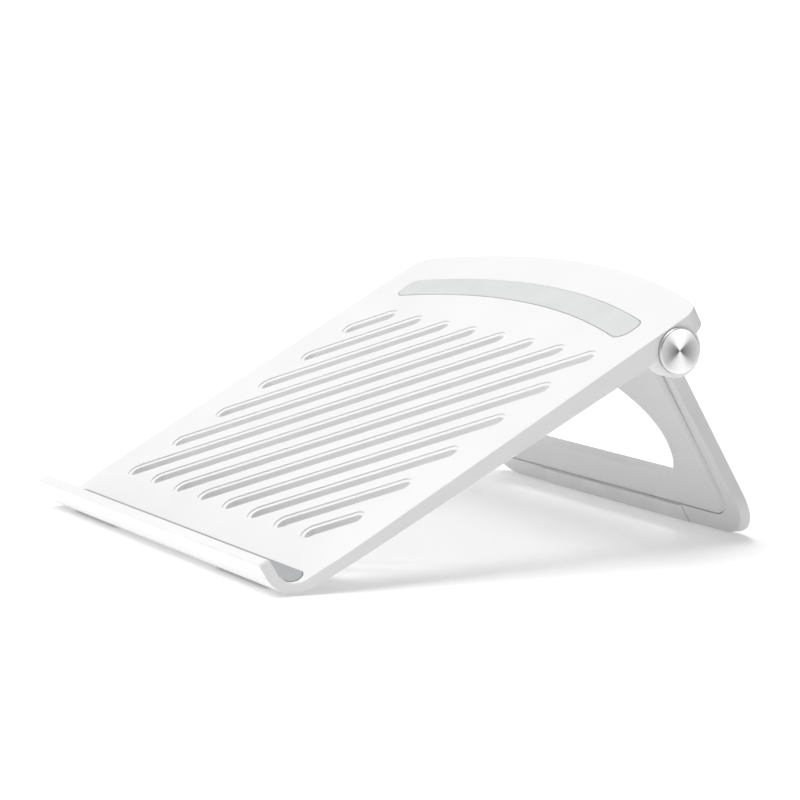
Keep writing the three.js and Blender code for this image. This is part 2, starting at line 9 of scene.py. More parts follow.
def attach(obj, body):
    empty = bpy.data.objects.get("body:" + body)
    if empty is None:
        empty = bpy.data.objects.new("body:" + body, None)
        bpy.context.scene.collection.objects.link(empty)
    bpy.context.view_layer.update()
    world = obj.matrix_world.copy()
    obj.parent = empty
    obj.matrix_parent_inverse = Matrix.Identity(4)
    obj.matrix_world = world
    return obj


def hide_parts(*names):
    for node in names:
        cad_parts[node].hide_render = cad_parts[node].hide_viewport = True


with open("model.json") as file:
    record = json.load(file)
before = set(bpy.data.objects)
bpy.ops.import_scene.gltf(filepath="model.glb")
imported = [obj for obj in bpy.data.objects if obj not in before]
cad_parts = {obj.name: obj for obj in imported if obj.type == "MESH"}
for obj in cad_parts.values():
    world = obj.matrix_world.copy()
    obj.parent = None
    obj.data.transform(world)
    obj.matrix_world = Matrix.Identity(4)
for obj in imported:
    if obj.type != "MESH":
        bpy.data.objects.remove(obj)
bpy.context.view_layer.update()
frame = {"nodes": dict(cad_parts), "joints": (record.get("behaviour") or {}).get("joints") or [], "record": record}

# The stand is drawn in millimetres in three frames, and each piece is moved into place in metres:
#   deck frame: x across, y from the lip to the rear edge, z up from the deck's top face
#   hinge frame: the same directions, with its origin on the hinge axis
#   leg frame: on the hinge axis, leaning with the open leg, which hangs down along -z

# ---- Sizes, in millimetres, as in the CAD model --------------------------------------------------

GAP = 0.3
DECK_HALF = 120.0
DECK_LENGTH = 246.0
SKIN = 3.6
WALL = 3.5
WALL_AT_HINGE = 9.8
WALL_AT_REAR = 8.2
CROWN = 18.4
REAR_CORNER = 12.0
FRONT_NARROWING = 4.0
NARROWING_LENGTH = 48.0
LIP_THICKNESS = 4.7
LIP_HEIGHT = 15.5
BEND_RADIUS = 9.0
LIP_TAPER = 2.0
LIP_EDGE = 0.9
LIP_END_MARGIN = 0.4  # the lip's ends start this far outside the deck's side
DECK_EDGE = 0.7
SLOT_RADIUS = 3.6
SLOT_CHAMFER = 1.4
SLOT_STEP = 24.9
SLOT_SIDE = 26.1
SLOT_FRONT = 38.9
SLOT_REAR = DECK_LENGTH - 64.5
SLOT_SHORTEST = 10.0
RIB_WIDTH = 1.8
RIB_DEPTH = 2.2
RIB_INSET = 9.0
PAD_THICKNESS = 1.2
PAD_PROUD = 0.3
PAD_EDGE = 0.35
BAND_INSET = 22.0
BAND_WIDTH = 14.0
BAND_END = 20.5
BAND_CORNER = 6.0
LIP_PAD_REACH = 3.2
LIP_PAD_RISE = 2.6
LIP_PAD_END = 2.2
LIP_PAD_CORNER = 5.5
LIP_PAD_EDGE = 0.3
GRIP_PROUD = 0.4
GRIP_LENGTH = 46.0
GRIP_SPACING = 150.0
GRIP_SPAN = 34.0
HINGE_Y = DECK_LENGTH - 36.2
HINGE_DROP = 10.8
EAR_THICKNESS = 9.4
OVERLAP = 0.02  # keeps the faces of two pieces of a boolean off one plane
EAR_SHY = 0.03  # keeps the ear's outer face off the plane of the deck's side
EAR_STEPS = 96
BORE_STEPS = 110  # not EAR_STEPS, so that no facets of the two line up
CAP_RADIUS = HINGE_DROP - 0.55
EAR_RADIUS = CAP_RADIUS + 1.65
CAP_THICKNESS = 2.6
CAP_RECESS = 1.1
CAP_CHAMFER = 0.4
CAP_EASE = 0.2  # off the cap's radius, and twice that off its seat, for a fine seam
BOLT_RADIUS = 2.5
BOLT_HEAD_RADIUS = 5.2
BOLT_HEAD_THICKNESS = 2.0
BUSH_WALL = 1.5
WASHER_THICKNESS = 1.0
BARREL_RADIUS = 8.0
BARREL_LENGTH = 8.6
BARREL_FLOOR = 3.0
RELIEF_SKIN = 2.1
NUT_FLATS = 8.0
STOP_REACH = 13.0
STOP_THICKNESS = 4.4
LEG_LENGTH = 102.0
LEG_LEAN = 2.6
LEG_SPLAY = 2.5
LEG_TOP = 6.8
LEG_LOW = 4.4
LEG_CORNER = 24.0
BAR_TOP = 4.8
SOLE_CLEARANCE = 0.4
LEG_EDGE = 0.8
PANEL_THICKNESS = 2.0
PANEL_PROUD = 0.3
PANEL_PROUD_TOP = 1.5
LEG_RIM = 8.0
PANEL_TOP = 7.6
PANEL_BOTTOM = 91.4
PANEL_TOP_CORNER = 5.0
PANEL_CORNER = 14.0
REBATE_WIDTH = 4.2
REBATE_DEPTH = 1.7
ARCH_SIDE = 22.5
ARCH_TOP = 12.3
ARCH_WIDEST = 50.5
ARCH_SILL = 73.6
ARCH_CORNER = 18.5
ARCH_RELIEF = 0.8
ARCH_PROUD = 0.8
FOOT_PAD_LENGTH = 120.0
FOOT_PAD_TOP = 92.4
FOOT_PAD_THICKNESS = 1.6
SCREW_HEAD_RADIUS = 2.0
SCREW_RECESS = 0.5
SCREW_HEAD_THICKNESS = 1.0
SCREW_RADIUS = 0.9
SCREW_TIP = 1.2
SCREW_INSET = 13.0
UPPER_SCREW = 30.0
LOWER_SCREW = 83.0
LOWER_SCREW_HALF = 48.0
BOSS_RADIUS = 2.4
BOSS_HEIGHT = 0.9
CROSS_REACH = 1.24
CROSS_HALF_WIDTH = 0.24
CROSS_DEPTH = 0.6

MM = 0.001
MOUNTS = {mount["name"]: mount for mount in frame["record"]["mounts"]}
REST = MOUNTS["laptop_rest"]
REST_Y = 196.0  # the laptop_rest mount in the deck frame
TILT = math.atan2(-REST["axis"][1], REST["axis"][2])
TURN = Matrix.Rotation(TILT, 4, "X")
DECK = (
    Matrix.Translation(REST["pos_m"])
    @ TURN
    @ Matrix.Scale(MM, 4)
    @ Matrix.Translation((0, -REST_Y, 0))
)
HINGE_POS = Vector(frame["joints"][0]["pos_m"])
HINGE = Matrix.Translation(HINGE_POS) @ TURN @ Matrix.Scale(MM, 4)
LEG = HINGE @ Matrix.Rotation(math.radians(LEG_LEAN), 4, "X")
SOLE_TILT = TILT + math.radians(LEG_LEAN)

BEND_OUTER = BEND_RADIUS + LIP_THICKNESS
BEND = (BEND_OUTER, BEND_RADIUS)
CROWN_RADIUS = (DECK_HALF**2 + CROWN**2) / (2 * CROWN)
CROWN_Y = DECK_LENGTH - CROWN_RADIUS
PAD_RECESS = PAD_THICKNESS + GAP - PAD_PROUD
EAR_INNER = DECK_HALF - EAR_THICKNESS
BARREL_OUTER = EAR_INNER - WASHER_THICKNESS - 2 * GAP
BARREL_INNER = BARREL_OUTER - BARREL_LENGTH
SKIN_OVER_HINGE = HINGE_DROP - SKIN
BUSH_RADIUS = BOLT_RADIUS + GAP + BUSH_WALL
CAP_FACE = DECK_HALF - CAP_RECESS + GAP
HEAD_FACE = CAP_FACE - GAP - BOLT_HEAD_THICKNESS
CONTACT = BEND_OUTER + GRIP_PROUD
PANEL_HALF = BARREL_OUTER - LEG_RIM
ARCH_HALF = PANEL_HALF - ARCH_SIDE
SILL_HALF = ARCH_HALF - ARCH_CORNER
PANEL_DEEP = PANEL_THICKNESS - PANEL_PROUD
SPOT = BARREL_OUTER - BARREL_FLOOR
HEEL = LEG_LOW / 2

# ---- Outlines ------------------------------------------------------------------------------------


def arc(middle, radius, start, stop, steps):
    """Points along an arc, angles in degrees."""
    points = []
    for i in range(steps + 1):
        a = math.radians(start + (stop - start) * i / steps)
        points.append((middle[0] + radius * math.cos(a), middle[1] + radius * math.sin(a)))
    return points


def rounded(corners, steps=8):
    """A closed outline through corners (x, y) or (x, y, radius)."""
    points = []
    count = len(corners)
    for i, corner in enumerate(corners):
        here = Vector(corner[:2])
        if len(corner) < 3 or corner[2] == 0:
            points.append(tuple(here))
            continue
        back = (Vector(corners[i - 1][:2]) - here).normalized()
        ahead = (Vector(corners[(i + 1) % count][:2]) - here).normalized()
        half = math.acos(max(-1, min(1, back.dot(ahead)))) / 2
        middle = here + (back + ahead).normalized() * (corner[2] / math.sin(half))
        reach = corner[2] / math.tan(half)
        first = here + back * reach - middle
        last = here + ahead * reach - middle
        start = math.degrees(math.atan2(first.y, first.x))
        turn = math.degrees(math.atan2(last.y, last.x)) - start
        turn = (turn + 180) % 360 - 180
        points += arc(middle, corner[2], start, start + turn, steps)
    return points


def circle(middle, radius, steps=64):
    return arc(middle, radius, 0, 360, steps)[:-1]


# ---- Meshes --------------------------------------------------------------------------------------


def new_object(name, mesh):
    thing = bpy.data.objects.new(name, mesh)
    bpy.context.scene.collection.objects.link(thing)
    return thing


def from_faces(name, points, faces):
    """A closed mesh with its faces turned outwards."""
    mesh = bpy.data.meshes.new(name)
    mesh.from_pydata(points, [], faces)
    work = bmesh.new()
    work.from_mesh(mesh)
    bmesh.ops.recalc_face_normals(work, faces=work.faces)
    work.to_mesh(mesh)
    work.free()
    return new_object(name, mesh)


def stack(name, rings):
    """A solid through rings of points with equal counts, closed at both ends."""
    count = len(rings[0])
    faces = []
    for k in range(len(rings) - 1):
        for i in range(count):
            j = (i + 1) % count
            faces.append((k * count + i, k * count + j, (k + 1) * count + j, (k + 1) * count + i))
    faces.append(tuple(reversed(range(count))))
    faces.append(tuple(range((len(rings) - 1) * count, len(rings) * count)))
    return from_faces(name, [p for ring in rings for p in ring], faces)


def plate(outline, low, high, name="plate"):
    """Drawn in x and y, thick in z."""
    return stack(name, [[(x, y, z) for x, y in outline] for z in (low, high)])


def sideways(outline, low, high, name="sideways"):
    """Drawn in y and z, wide in x."""
    return stack(name, [[(x, y, z) for y, z in outline] for x in (low, high)])


def deepways(outline, low, high):
    """Drawn in x and z, deep in y."""
    return stack("deepways", [[(x, y, z) for x, z in outline] for y in (low, high)])


def block(low, high):
    (x0, y0, z0), (x1, y1, z1) = low, high
    return plate([(x0, y0), (x1, y0), (x1, y1), (x0, y1)], z0, z1, "block")


def turned(profile, y=0.0, z=0.0, steps=64):
    """A profile of (radius, x) points turned about a line along X. Ends on the axis are closed."""
    points = []
    faces = []
    rows = []
    for radius, x in profile:
        if radius < 1e-6:
            rows.append([len(points)])
            points.append((x, y, z))
            continue
        rows.append(list(range(len(points), len(points) + steps)))
        for i in range(steps):
            a = 2 * math.pi * i / steps
            points.append((x, y + radius * math.cos(a), z + radius * math.sin(a)))
    for one, two in zip(rows, rows[1:]):
        for i in range(steps):
            j = (i + 1) % steps
            corners = [one[i % len(one)], one[j % len(one)], two[j % len(two)], two[i % len(two)]]
            face = tuple(dict.fromkeys(corners))
            if len(face) > 2:
                faces.append(face)
    return from_faces("turned", points, faces)


def apply_modifiers(thing):
    graph = bpy.context.evaluated_depsgraph_get()
    mesh = bpy.data.meshes.new_from_object(thing.evaluated_get(graph))
    old = thing.data
    thing.modifiers.clear()
    thing.data = mesh
    bpy.data.meshes.remove(old)
    return thing


def bevel(thing, width, segments, angle=30.0):
    modifier = thing.modifiers.new("bevel", "BEVEL")
    modifier.width = width
    modifier.segments = segments
    modifier.limit_method = "ANGLE"
    modifier.angle_limit = math.radians(angle)
    modifier.use_clamp_overlap = True
    return apply_modifiers(thing)


def boolean(thing, others, operation):
    """thing joined with, cut by or kept inside the others, which are used up."""
    for other in others:
        modifier = thing.modifiers.new("boolean", "BOOLEAN")
        modifier.operation = operation
        modifier.solver = "EXACT"
        modifier.object = other
        apply_modifiers(thing)
        mesh = other.data
        bpy.data.objects.remove(other)
        bpy.data.meshes.remove(mesh)
    return thing


def cut(thing, *others):
    return boolean(thing, others, "DIFFERENCE")


def join(thing, *others):
    return boolean(thing, others, "UNION")


def keep(thing, *others):
    return boolean(thing, others, "INTERSECT")


def mirrored(make):
    """make(1) and make(-1): the piece for each side."""
    return [make(1), make(-1)]


def flip(thing, side):
    if side < 0:
        thing.data.transform(Matrix.Scale(-1, 4, (1, 0, 0)))
        thing.data.flip_normals()
    return thing


def place(thing, matrix, name, body, material, replaced, smooth=32.0):
    """Moves the mesh into the row frame, smooths it, and hands it to the frame."""
    mesh = thing.data
    mesh.transform(matrix)
    mesh.polygons.foreach_set("use_smooth", [True] * len(mesh.polygons))
    mesh.set_sharp_from_angle(angle=math.radians(smooth))
    thing.name = name
    mesh.name = name
    mesh.materials.clear()
    mesh.materials.append(material)
    modifier = thing.modifiers.new("weighted", "WEIGHTED_NORMAL")
    modifier.keep_sharp = True
    modifier.weight = 90
    apply_modifiers(thing)
    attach(thing, body)
    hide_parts(*replaced)


# ---- Materials -----------------------------------------------------------------------------------


def material(name, color, roughness, metallic=0.0):
    made = bpy.data.materials.new(name)
    made.use_nodes = True
    shader = made.node_tree.nodes["Principled BSDF"]
    shader.inputs["Base Color"].default_value = (*color, 1)
    shader.inputs["Roughness"].default_value = roughness
    shader.inputs["Metallic"].default_value = metallic
    return made, made.node_tree.nodes, made.node_tree.links, shader


def noise(nodes, links, scale, detail):
    where = nodes.new("ShaderNodeTexCoord")
    texture = nodes.new("ShaderNodeTexNoise")
    texture.inputs["Scale"].default_value = scale
    texture.inputs["Detail"].default_value = detail
    links.new(where.outputs["Object"], texture.inputs["Vector"])
    return texture


def span(nodes, links, source, low, high):
    """source, 0 to 1, spread over low to high."""
    ramp = nodes.new("ShaderNodeMapRange")
    ramp.inputs["From Min"].default_value = 0.3
    ramp.inputs["From Max"].default_value = 0.7
    ramp.inputs["To Min"].default_value = low
    ramp.inputs["To Max"].default_value = high
    links.new(source, ramp.inputs["Value"])
    return ramp.outputs["Result"]


def tint(nodes, links, source, one, two):
    """A colour between one and two as source goes from 0.3 to 0.7."""
    ramp = nodes.new("ShaderNodeValToRGB")
    ramp.color_ramp.elements[0].position = 0.3
    ramp.color_ramp.elements[0].color = (*one, 1)
    ramp.color_ramp.elements[1].position = 0.7
    ramp.color_ramp.elements[1].color = (*two, 1)
    links.new(source, ramp.inputs["Fac"])
    return ramp.outputs["Color"]


def bump(nodes, links, shader, height, strength, distance):
    node = nodes.new("ShaderNodeBump")
    node.inputs["Strength"].default_value = strength
    node.inputs["Distance"].default_value = distance
    links.new(height, node.inputs["Height"])
    links.new(node.outputs["Normal"], shader.inputs["Normal"])


def moulded_plastic(name, color, roughness, grain):
    """Satin moulded plastic with a fine spark-eroded grain."""
    made, nodes, links, shader = material(name, color, roughness)
    broad = noise(nodes, links, 22.0, 2.0)
    darker = tuple(c * 0.985 for c in color)
    links.new(tint(nodes, links, broad.outputs["Fac"], darker, color), shader.inputs["Base Color"])
    links.new(
        span(nodes, links, broad.outputs["Fac"], roughness - 0.03, roughness + 0.03),
        shader.inputs["Roughness"],
    )
    fine = noise(nodes, links, 2600.0, 2.0)
    bump(nodes, links, shader, fine.outputs["Fac"], grain, 0.00004)
    shader.inputs["IOR"].default_value = 1.5
    return made


def silicone(name, color, roughness):
    """Soft matt silicone, a little mottled, with a very fine open texture."""
    made, nodes, links, shader = material(name, color, roughness)
    broad = noise(nodes, links, 60.0, 4.0)
    darker = tuple(c * 0.94 for c in color)
    links.new(tint(nodes, links, broad.outputs["Fac"], darker, color), shader.inputs["Base Color"])
    fine = noise(nodes, links, 1800.0, 3.0)
    links.new(
        span(nodes, links, fine.outputs["Fac"], roughness - 0.05, roughness + 0.05),
        shader.inputs["Roughness"],
    )
    bump(nodes, links, shader, fine.outputs["Fac"], 0.35, 0.00006)
    shader.inputs["Sheen Weight"].default_value = 0.12
    shader.inputs["Sheen Roughness"].default_value = 0.4
    shader.inputs["IOR"].default_value = 1.43
    return made


def spun_metal(name, painted_shade_colour, pale, roughness):
    """A face turned on a lathe with fine rings round X; its colour carries a painted highlight in fans above and
    below the centre, and painted shade at the centre and the sides.
    """
    made, nodes, links, shader = material(name, pale, roughness, 1.0)
    where = nodes.new("ShaderNodeTexCoord")
    centred = nodes.new("ShaderNodeVectorMath")
    centred.operation = "SUBTRACT"
    centred.inputs[1].default_value = (0.5, 0.5, 0.5)
    links.new(where.outputs["Generated"], centred.inputs[0])
    flat = nodes.new("ShaderNodeVectorMath")
    flat.operation = "MULTIPLY"
    flat.inputs[1].default_value = (0, 1, 1)
    links.new(centred.outputs["Vector"], flat.inputs[0])
    spoke = nodes.new("ShaderNodeVectorMath")
    spoke.operation = "NORMALIZE"
    links.new(flat.outputs["Vector"], spoke.inputs[0])
    parts = nodes.new("ShaderNodeSeparateXYZ")
    links.new(spoke.outputs["Vector"], parts.inputs["Vector"])
    height = nodes.new("ShaderNodeMath")
    height.operation = "ABSOLUTE"
    links.new(parts.outputs["Z"], height.inputs[0])
    # painted highlight: the colour goes pale in fans above and below the centre
    painted_highlight_fan = nodes.new("ShaderNodeMapRange")
    painted_highlight_fan.interpolation_type = "SMOOTHSTEP"
    painted_highlight_fan.inputs["From Min"].default_value = 0.52
    painted_highlight_fan.inputs["From Max"].default_value = 0.97
    links.new(height.outputs["Value"], painted_highlight_fan.inputs["Value"])
    reach = nodes.new("ShaderNodeVectorMath")
    reach.operation = "LENGTH"
    links.new(flat.outputs["Vector"], reach.inputs[0])
    # painted shade: the colour is darkest at the centre and greyer out to the left and right
    side = nodes.new("ShaderNodeValToRGB")
    side.color_ramp.elements[0].color = (*painted_shade_colour, 1)
    side.color_ramp.elements[1].position = 0.48
    side.color_ramp.elements[1].color = (*(c * 0.76 for c in pale), 1)
    links.new(reach.outputs["Value"], side.inputs["Fac"])
    blend = nodes.new("ShaderNodeMix")
    blend.data_type = "RGBA"
    blend.inputs["B"].default_value = (*pale, 1)
    links.new(painted_highlight_fan.outputs["Result"], blend.inputs["Factor"])
    links.new(side.outputs["Color"], blend.inputs["A"])
    links.new(blend.outputs["Result"], shader.inputs["Base Color"])
    rings = nodes.new("ShaderNodeTexWave")
    rings.wave_type = "RINGS"
    rings.rings_direction = "X"
    rings.inputs["Scale"].default_value = 18.0
    rings.inputs["Distortion"].default_value = 0.6
    rings.inputs["Detail"].default_value = 2.0
    links.new(flat.outputs["Vector"], rings.inputs["Vector"])
    bump(nodes, links, shader, rings.outputs["Fac"], 0.12, 0.00002)
    tangent = nodes.new("ShaderNodeTangent")
    tangent.direction_type = "RADIAL"
    tangent.axis = "X"
    links.new(tangent.outputs["Tangent"], shader.inputs["Tangent"])
    shader.inputs["Anisotropic"].default_value = 0.8
    return made


def plated_steel(name, color, roughness):
    """Zinc-plated steel with faint clouding."""
    made, nodes, links, shader = material(name, color, roughness, 1.0)
    broad = noise(nodes, links, 400.0, 4.0)
    darker = tuple(c * 0.85 for c in color)
    links.new(tint(nodes, links, broad.outputs["Fac"], darker, color), shader.inputs["Base Color"])
    links.new(
        span(nodes, links, broad.outputs["Fac"], roughness - 0.07, roughness + 0.07),
        shader.inputs["Roughness"],
    )
    return made


WHITE = moulded_plastic("white_plastic", (0.90, 0.90, 0.90), 0.42, 0.25)
# the leg is the deck's white plastic, darkened here as painted shade for the shade it lies in under the deck
LEG_WHITE_PAINTED_SHADE = moulded_plastic("leg_plastic", (0.74, 0.74, 0.74), 0.46, 0.3)
PALE = silicone("pale_silicone", (0.70, 0.71, 0.71), 0.6)
SOLE = silicone("sole_silicone", (0.78, 0.78, 0.79), 0.62)
GREY = silicone("grey_silicone", (0.42, 0.43, 0.44), 0.62)
SPUN_PAINTED_LIGHT = spun_metal("spun_metal", (0.10, 0.10, 0.10), (0.92, 0.92, 0.93), 0.26)
STEEL = plated_steel("steel", (0.50, 0.51, 0.53), 0.34)
NYLON = moulded_plastic("nylon", (0.78, 0.76, 0.70), 0.55, 0.3)

# ---- Deck ----------------------------------------------------------------------------------------


def deck_plan(inset, front, step=4.0):
    """The deck seen from above, drawn in by inset."""
    half = DECK_HALF - inset
    radius = CROWN_RADIUS - inset
    side = []
    y = front
    while y < NARROWING_LENGTH:
        side.append((half - FRONT_NARROWING * (1 - y / NARROWING_LENGTH) ** 2, y))
        y += step
    side.append((half, NARROWING_LENGTH))
    rear = []
    steps = 24
    for i in range(steps + 1):
        x = half * (1 - 2 * i / steps)
        corner = REAR_CORNER - inset if i in (0, steps) else 0
        rear.append((x, CROWN_Y + math.sqrt(radius**2 - x**2), corner))
    # the corners' arcs take in the first step of the crown on each side
    reach = half - REAR_CORNER
    rear = [p for p in rear if p[2] or abs(p[0]) < reach]
    left = [(-x, y) for x, y in reversed(side)]
    return rounded(side + rear + left, 14)


def deck_profile():
    """The deck from the side, with its walls' full depth."""
    lip = [(LIP_THICKNESS, LIP_HEIGHT, LIP_EDGE), (0, LIP_HEIGHT, LIP_EDGE)]
    return rounded(
        [(DECK_LENGTH + 1, 0)]
        + arc(BEND, BEND_RADIUS, -90, -180, 20)
        + lip
        + arc(BEND, BEND_OUTER, 180, 270, 24)
        + [(HINGE_Y, -WALL_AT_HINGE), (DECK_LENGTH + 1, -WALL_AT_REAR)]
    )


def side_at(y):
    """The deck's half-width at depth y."""
    return DECK_HALF - FRONT_NARROWING * (1 - min(y, NARROWING_LENGTH) / NARROWING_LENGTH) ** 2


def lip_ends(side):
    """The lip's leaning ends, which start just outside the deck's side."""
    root = side + LIP_END_MARGIN
    wide = DECK_HALF + 1
    top = LIP_HEIGHT + 0.5
    return rounded(
        [
            (-wide, -30),
            (wide, -30),
            (wide, 1),
            (root, 1),
            (root - LIP_TAPER, top, 3),
            (LIP_TAPER - root, top, 3),
            (-root, 1),
            (-wide, 1),
        ],
        10,
    )


def lip_room():
    """All the room between the lip's two ends, along the whole deck."""
    depths = [-1, 0, 3, 6, 9, 12, 16, 22, 30, 39, NARROWING_LENGTH, DECK_LENGTH + 1]
    return stack("lip_room", [[(x, y, z) for x, z in lip_ends(side_at(y))] for y in depths])


SLOT_HALF = DECK_HALF - SLOT_SIDE
SLOT_SLOPE = (SLOT_REAR - SLOT_FRONT) / (2 * SLOT_HALF - 2 * SLOT_STEP)


def slot_line(start, margin=0.0):
    """The slot that meets the front row start steps in from its left end."""
    x0 = -SLOT_HALF + start * SLOT_STEP
    low = max(-SLOT_HALF - margin, x0 - margin / SLOT_SLOPE)
    high = min(SLOT_HALF + margin, x0 + (SLOT_REAR + margin - SLOT_FRONT) / SLOT_SLOPE)
    if high <= low:
        return None
    one, two = (Vector((x, SLOT_FRONT + (x - x0) * SLOT_SLOPE)) for x in (low, high))
    return (one, two) if (two - one).length > SLOT_SHORTEST else None


def slot_lines(offset, margin):
    most = math.ceil(2 * SLOT_HALF / SLOT_STEP)
    lines = [slot_line(i + offset, margin) for i in range(-most, most + 1)]
    return [line for line in lines if line]


def slot_ring(line, radius, z, steps=16):
    one, two = line
    angle = math.degrees(math.atan2(two.y - one.y, two.x - one.x))
    points = arc(two, radius, angle - 90, angle + 90, steps)
    points += arc(one, radius, angle + 90, angle + 270, steps)
    return [(x, y, z) for x, y in points]


def slot_cutter(line):
    """Straight walls below a sloping ledge, which ends in a small step at the deck's face."""
    c = SLOT_CHAMFER
    section = [
        (0.0, -20.0),
        (0.0, -1.30),
        (0.04, -1.12),
        (0.18, -0.98),
        (c - 0.10, -0.62),
        (c, -0.56),
        (c + 0.04, -0.14),
        (c + 0.10, -0.04),
        (c + 0.26, 0.01),
        (c + 0.26, 3.0),
    ]
    return stack("slot", [slot_ring(line, SLOT_RADIUS + out, z) for out, z in section])


def rib(line):
    low, high = -SKIN - RIB_DEPTH, -SKIN + 0.5
    half = RIB_WIDTH / 2
    return stack("rib", [slot_ring(line, half * 0.8, low, 6), slot_ring(line, half, high, 6)])


def band_plan(clearance):
    """A band that follows the rear edge."""
    half = DECK_HALF - BAND_END + clearance
    outer = CROWN_RADIUS - BAND_INSET + clearance
    inner = CROWN_RADIUS - BAND_INSET - BAND_WIDTH - clearance
    corners = []
    for radius, start in ((outer, half), (inner, -half)):
        for i in range(25):
            x = start * (1 - i / 12)
            if 0 < abs(abs(x) - half) < BAND_CORNER:
                continue
            corner = BAND_CORNER if i in (0, 24) else 0
            corners.append((x, CROWN_Y + math.sqrt(radius**2 - x**2), corner))
    return rounded(corners, 10)


def lip_pad_profile(shallow, deep, clearance):
    back = BEND[0] + LIP_PAD_REACH + clearance
    top = BEND[1] + LIP_PAD_RISE + clearance
    return rounded(
        [(back, -shallow)]
        + arc(BEND, BEND_RADIUS + shallow, -90, -180, 20)
        + [(LIP_THICKNESS - shallow, top), (LIP_THICKNESS - deep, top)]
        + arc(BEND, BEND_RADIUS + deep, -180, -90, 20)
        + [(back, -deep)]
    )


LIP_PAD_HALF = DECK_HALF - FRONT_NARROWING - LIP_PAD_END


def lip_pad_ends(clearance):
    half = LIP_PAD_HALF + clearance
    back = BEND[0] + LIP_PAD_REACH + clearance
    corner = LIP_PAD_CORNER + clearance
    return rounded([(-half, -5), (half, -5), (half, back, corner), (-half, back, corner)], 10)


def grip_profile(inner, outer, clearance):
    down = -90 - math.degrees(TILT)
    half = GRIP_SPAN / 2 + math.degrees(clearance / BEND_OUTER)
    there = arc(BEND, outer, down - half, down + half, 16)
    return there + arc(BEND, inner, down + half, down - half, 16)


def grip(side, inner, outer, clearance):
    middle = side * GRIP_SPACING / 2
    half = GRIP_LENGTH / 2 + clearance
    return sideways(grip_profile(inner, outer, clearance), middle - half, middle + half)


def ear(side):
    """The round ear under the deck that holds a hinge, with the root that joins it to the skin."""
    axis = (HINGE_Y, -HINGE_DROP)
    face = DECK_HALF - EAR_SHY
    rim = turned(
        [(0, EAR_INNER), (EAR_RADIUS - 0.5, EAR_INNER), (EAR_RADIUS - 0.15, EAR_INNER + 0.15),
         (EAR_RADIUS, EAR_INNER + 0.5), (EAR_RADIUS, face - 0.6),
         (EAR_RADIUS - 0.18, face - 0.18), (EAR_RADIUS - 0.6, face), (0, face)],
        *axis, steps=EAR_STEPS,
    )
    root = block(
        (EAR_INNER, HINGE_Y - EAR_RADIUS + 0.01, -HINGE_DROP),
        (DECK_HALF - 0.7, HINGE_Y + EAR_RADIUS - 0.01, -1.4),
    )
    below_the_skin = block((0, 0, -60), (DECK_HALF + 1, DECK_LENGTH, -1.2))
    return flip(keep(join(rim, root), below_the_skin), side)


def ear_bore(side):
    """Room in the ear for the bush, the bolt's head and the cap's back."""
    seat = CAP_RADIUS + GAP - 2 * CAP_EASE
    head = BOLT_HEAD_RADIUS + GAP
    bush = BUSH_RADIUS + GAP
    bore = turned(
        [(0, EAR_INNER - 1), (bush, EAR_INNER - 1), (bush, HEAD_FACE - GAP),
         (head, HEAD_FACE - GAP), (head, DECK_HALF - CAP_RECESS), (seat, DECK_HALF - CAP_RECESS),
         (seat, DECK_HALF + 1), (0, DECK_HALF + 1)],
        HINGE_Y, -HINGE_DROP, steps=BORE_STEPS,
    )
    return flip(bore, side)


def barrel_relief(side):
    """Room under the skin for the leg's barrel to turn in."""
    reach = BARREL_RADIUS + 1
    room = block(
        (BARREL_INNER - 2 * GAP, HINGE_Y - reach, -HINGE_DROP - reach),
        (EAR_INNER + OVERLAP, HINGE_Y + reach, -RELIEF_SKIN),
    )
    return flip(room, side)


def make_deck():
    envelope = keep(
        sideways(deck_profile(), -DECK_HALF - 1, DECK_HALF + 1, "deck"),
        plate(deck_plan(0, -1), -30, 30),
    )
    bevel(envelope, DECK_EDGE, 4, 28)
    keep(envelope, lip_room())
    tray_front = BEND_OUTER + 2 * LIP_THICKNESS
    hollow = plate(deck_plan(WALL, tray_front), -30, -SKIN)
    inside = plate(deck_plan(WALL - 0.5, tray_front - 0.5), -SKIN - RIB_DEPTH, -SKIN + 0.5)
    bars = [rib(line) for line in slot_lines(0.5, RIB_INSET)]
    for y in (SLOT_FRONT - RIB_INSET, SLOT_REAR + RIB_INSET):
        low = (-DECK_HALF + 1, y - RIB_WIDTH / 2, -SKIN - RIB_DEPTH)
        bars.append(block(low, (DECK_HALF - 1, y + RIB_WIDTH / 2, -SKIN + 0.5)))
    ribs = keep(join(bars[0], *bars[1:]), inside)
    shell = join(cut(envelope, hollow), ribs, *mirrored(ear))
    cut(shell, *[slot_cutter(line) for line in slot_lines(0, 0)])
    cut(
        shell,
        plate(band_plan(GAP), -PAD_RECESS, 1),
        keep(
            sideways(lip_pad_profile(-1, PAD_RECESS, GAP), -LIP_PAD_HALF - 1, LIP_PAD_HALF + 1),
            plate(lip_pad_ends(GAP), -10, LIP_HEIGHT),
        ),
        *mirrored(lambda side: grip(side, CONTACT - PAD_THICKNESS - GAP, CONTACT + 1, GAP)),
        *mirrored(barrel_relief),
        *mirrored(ear_bore),
    )
    return shell


place(make_deck(), DECK, "deck_shell", "deck", WHITE, ["deck"])

rear_pad = bevel(plate(band_plan(0), PAD_PROUD - PAD_THICKNESS, PAD_PROUD), PAD_EDGE, 3)
place(rear_pad, DECK, "rear_band", "deck", PALE, ["rear_grip_pad"])

channel = lip_pad_profile(-PAD_PROUD, PAD_THICKNESS - PAD_PROUD, 0)
channel_pad = keep(
    sideways(channel, -LIP_PAD_HALF, LIP_PAD_HALF),
    plate(lip_pad_ends(0), -10, LIP_HEIGHT),
)
bevel(channel_pad, LIP_PAD_EDGE, 3, 40)
place(channel_pad, DECK, "channel_pad", "deck", GREY, ["lip_pad"])

